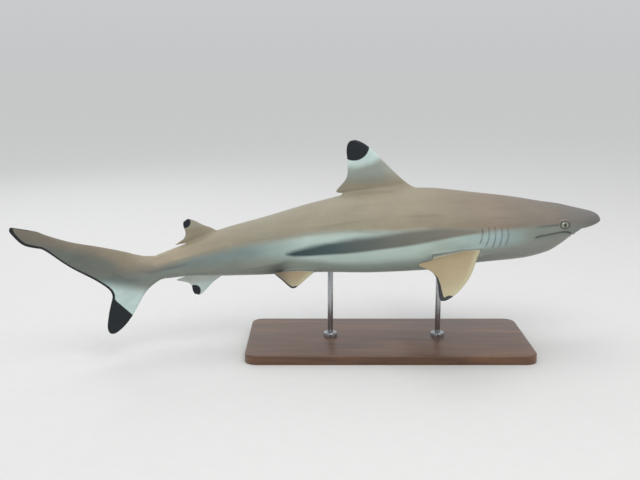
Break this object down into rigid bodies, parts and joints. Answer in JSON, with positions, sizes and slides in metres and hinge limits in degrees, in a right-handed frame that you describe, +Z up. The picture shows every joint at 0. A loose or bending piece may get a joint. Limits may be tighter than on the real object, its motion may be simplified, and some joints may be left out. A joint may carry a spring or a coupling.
{
  "type": "blacktip reef shark display model",
  "caption": "Life-size still model of a blacktip reef shark, swimming with its tail swung to the right, held by a flat base with rods.",
  "frame": {"origin": "middle of the flat underside of the stand's base", "axes": "+X towards the shark's snout, +Y to its left, +Z up"},
  "size_m": [1.2136, 0.5418, 0.4586],
  "materials": {
    "skin": "painted cast resin with fine-grained satin skin: tan-brown back, pale bands along the flank, near-black fin tips",
    "eye": "polished eye with a pale iris and a dark upright slit pupil",
    "stand_wood": "dark walnut, satin lacquer",
    "stand_steel": "brushed"
  },
  "bodies": {
    "root": {"head": "skin", "lower_jaw": "skin", "trunk_front": "skin", "trunk_rear": "skin", "tail_stalk": "skin", "caudal_fin_lower_lobe": "skin", "caudal_fin_upper_lobe": "skin", "first_dorsal_fin": "skin", "second_dorsal_fin": "skin", "anal_fin": "skin", "pectoral_fin_left": "skin", "pectoral_fin_right": "skin", "pelvic_fin_left": "skin", "pelvic_fin_right": "skin", "eye_left": "eye", "eye_right": "eye", "stand_base": "stand_wood", "stand_rod_front": "stand_steel", "stand_rod_rear": "stand_steel", "stand_collar_front": "stand_steel", "stand_collar_rear": "stand_steel"}
  },
  "joints": []
}
